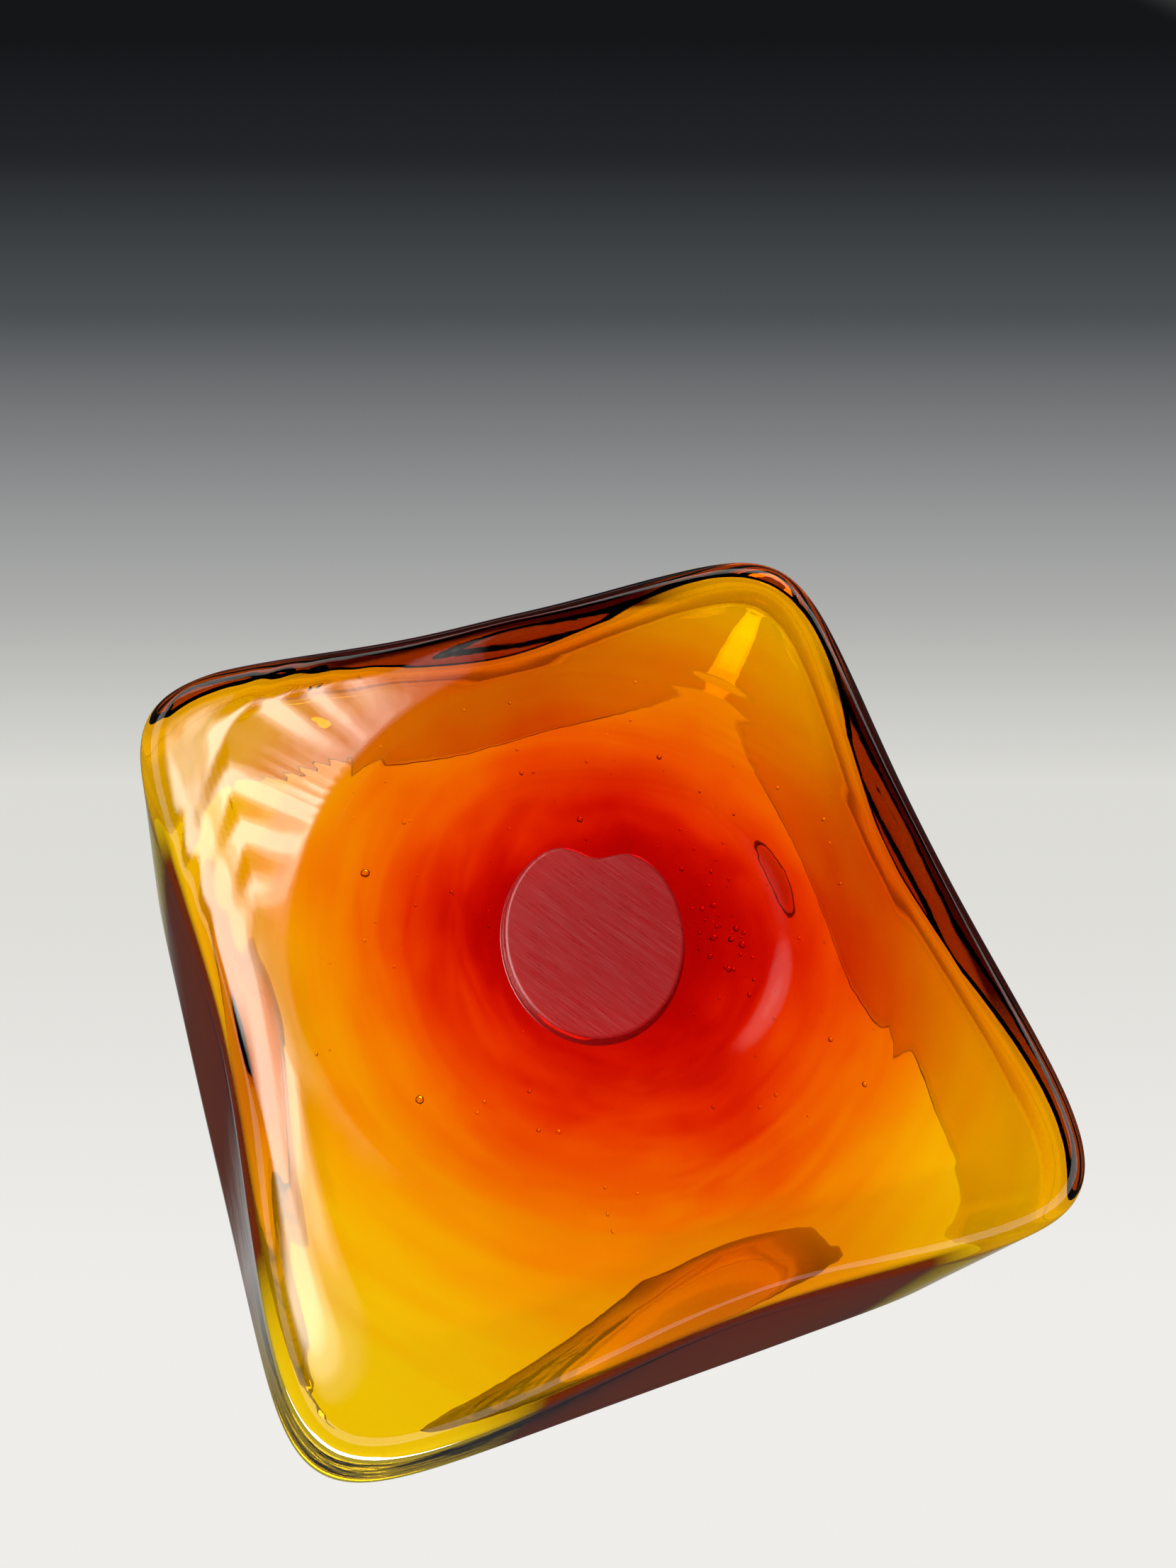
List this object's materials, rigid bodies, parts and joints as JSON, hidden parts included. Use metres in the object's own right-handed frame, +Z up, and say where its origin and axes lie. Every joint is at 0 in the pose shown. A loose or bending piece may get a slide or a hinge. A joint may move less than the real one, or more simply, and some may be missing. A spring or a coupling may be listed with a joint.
{
  "type": "art glass bowl",
  "caption": "Heavy square art glass bowl with thick sides, thin rounded corners, a fire-polished lip and a ground punty mark in a dimpled base.",
  "frame": {"origin": "middle of the plane that the bowl rests on", "axes": "+Z up, out of the opening; X and Y square to the sides, with the rippled corner at +X +Y"},
  "size_m": [0.166, 0.1688, 0.066],
  "materials": {
    "lining_glass": "fire-polished, deep red at the middle fading to amber",
    "overlay_glass": "fire-polished amber, with seeds and chill ripples",
    "ground_glass": "ground flat, frosted"
  },
  "bodies": {
    "root": {"inner_gather": "lining_glass", "outer_gather": "overlay_glass", "punty_wad": "ground_glass"}
  },
  "joints": []
}
